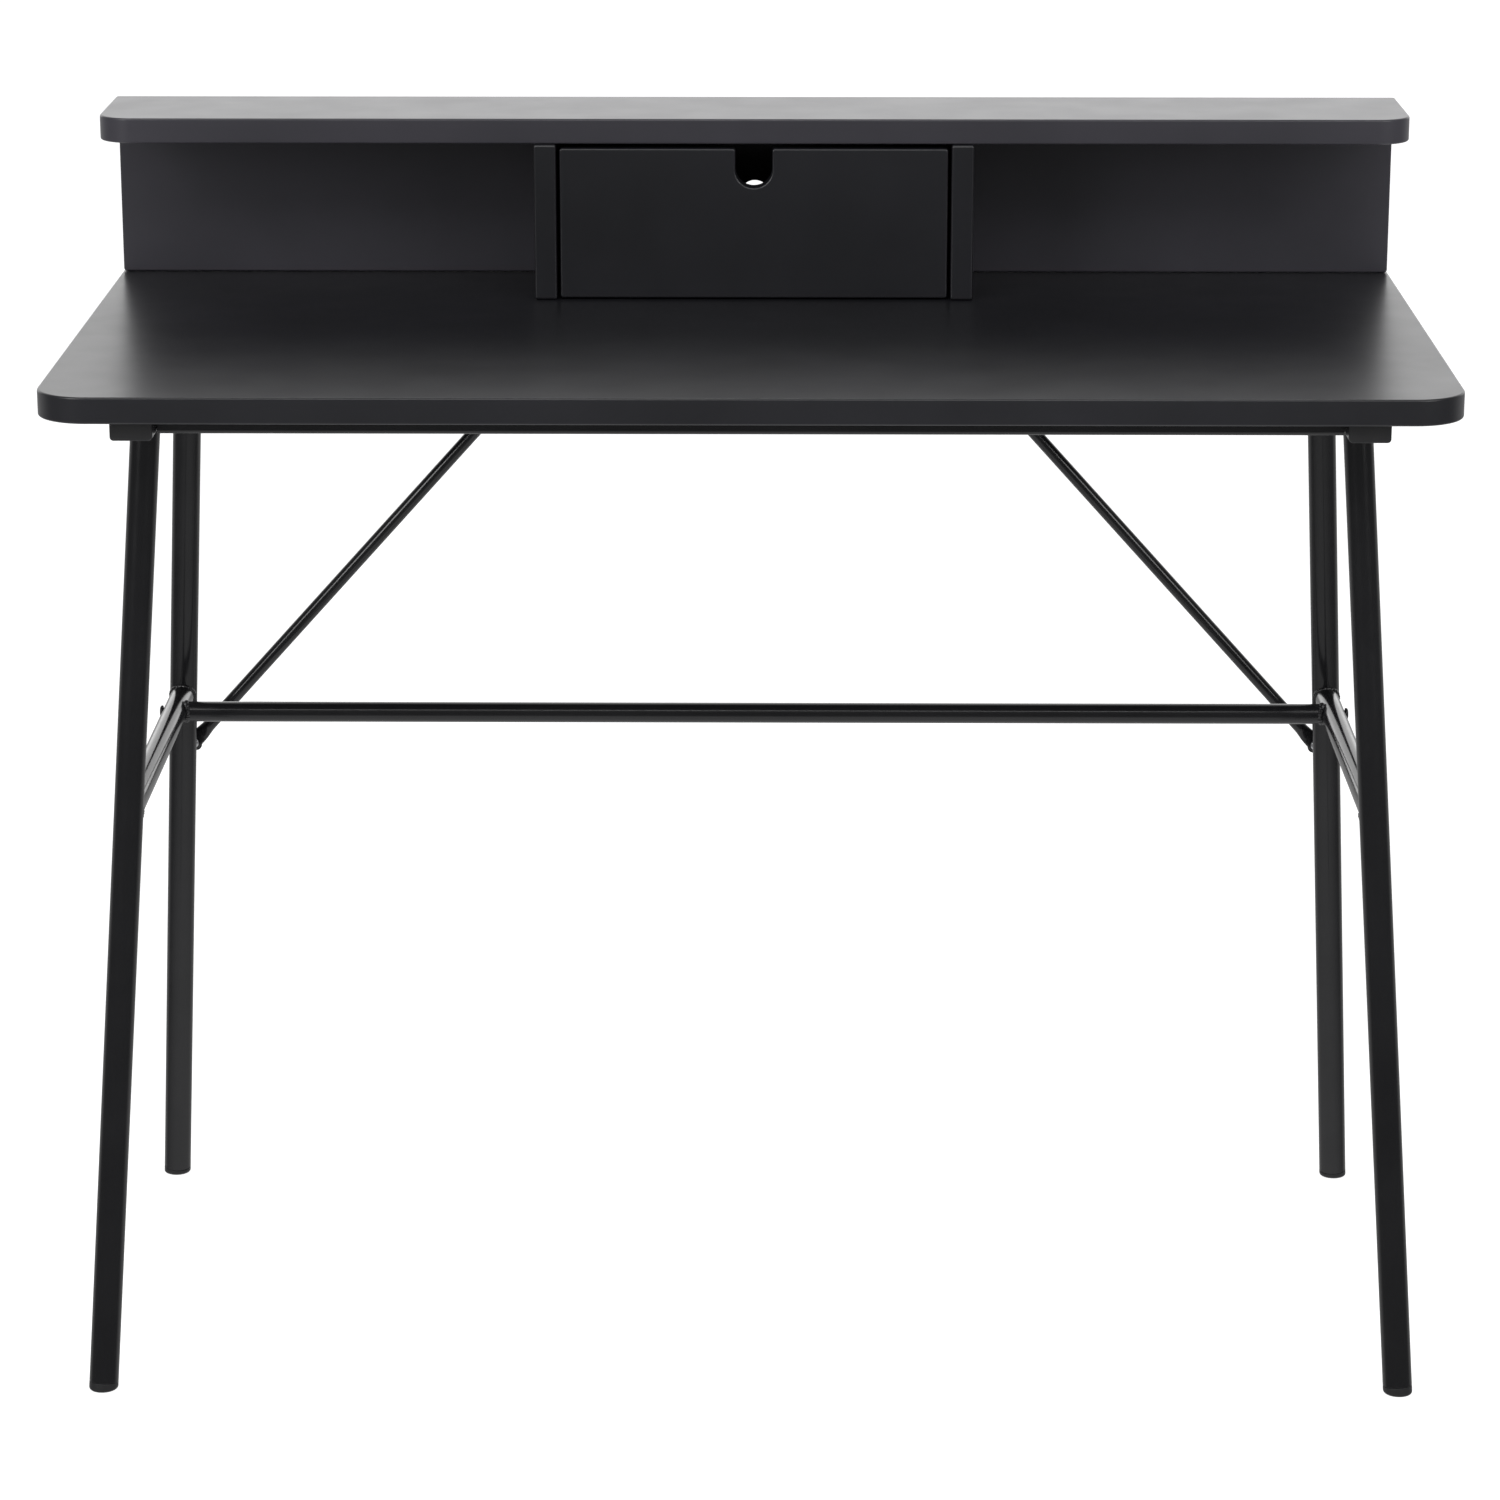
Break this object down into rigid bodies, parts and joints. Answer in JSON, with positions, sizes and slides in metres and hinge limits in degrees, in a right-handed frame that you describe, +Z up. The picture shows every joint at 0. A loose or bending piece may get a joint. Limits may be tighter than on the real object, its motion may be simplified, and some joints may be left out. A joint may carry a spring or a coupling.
{
  "type": "writing desk",
  "caption": "Writing desk with a thin lacquered top on splayed steel tube legs and a low hutch whose open compartments flank a sliding drawer.",
  "frame": {"origin": "on the floor, under the centre of the desk's bounding box", "axes": "+X to the sitter's right along the desk's length, -Y towards the sitter, +Z up"},
  "size_m": [1, 0.5, 0.894],
  "materials": {
    "lacquer": "satin black lacquer on board",
    "steel": "satin black powder coat",
    "plastic": "matt black moulded",
    "zinc": "bright zinc plate",
    "blackened": "blackened steel"
  },
  "bodies": {
    "frame": {"desktop": "lacquer", "back_panel": "lacquer", "top_shelf": "lacquer", "divider_left": "lacquer", "divider_right": "lacquer", "side_rail_left": "steel", "side_rail_right": "steel", "cross_rail_front": "steel", "cross_rail_rear": "steel", "leg_front_left": "steel", "leg_front_right": "steel", "leg_rear_left": "steel", "leg_rear_right": "steel", "side_stretcher_left": "steel", "side_stretcher_right": "steel", "long_stretcher": "steel", "brace_left": "steel", "brace_right": "steel", "brace_lug_left": "steel", "brace_lug_right": "steel", "rail_cap_front_left": "plastic", "rail_cap_front_right": "plastic", "rail_cap_rear_left": "plastic", "rail_cap_rear_right": "plastic", "foot_front_left": "plastic", "foot_front_right": "plastic", "foot_rear_left": "plastic", "foot_rear_right": "plastic", "stretcher_bolt_left": "blackened", "stretcher_bolt_right": "blackened", "stretcher_insert_left": "zinc", "stretcher_insert_right": "zinc", "brace_screw_low_left": "zinc", "brace_screw_low_right": "zinc", "brace_screw_high_left": "zinc", "brace_screw_high_right": "zinc", "rail_left_screw_1": "zinc", "rail_left_screw_2": "zinc", "rail_left_screw_3": "zinc", "rail_right_screw_1": "zinc", "rail_right_screw_2": "zinc", "rail_right_screw_3": "zinc", "divider_left_screw_1": "zinc", "divider_left_screw_2": "zinc", "divider_right_screw_1": "zinc", "divider_right_screw_2": "zinc", "panel_screw_1": "zinc", "panel_screw_2": "zinc", "panel_screw_3": "zinc", "panel_screw_4": "zinc", "shelf_screw_1": "zinc", "shelf_screw_2": "zinc", "shelf_screw_3": "zinc", "shelf_screw_4": "zinc"},
    "drawer": {"drawer_front": "lacquer", "drawer_side_left": "lacquer", "drawer_side_right": "lacquer", "drawer_back": "lacquer", "drawer_bottom": "lacquer"}
  },
  "joints": [
    {"name": "drawer_slide", "type": "slide", "parent": "frame", "child": "drawer", "axis": [0, -1, 0], "range_m": [0, 0.08]}
  ]
}
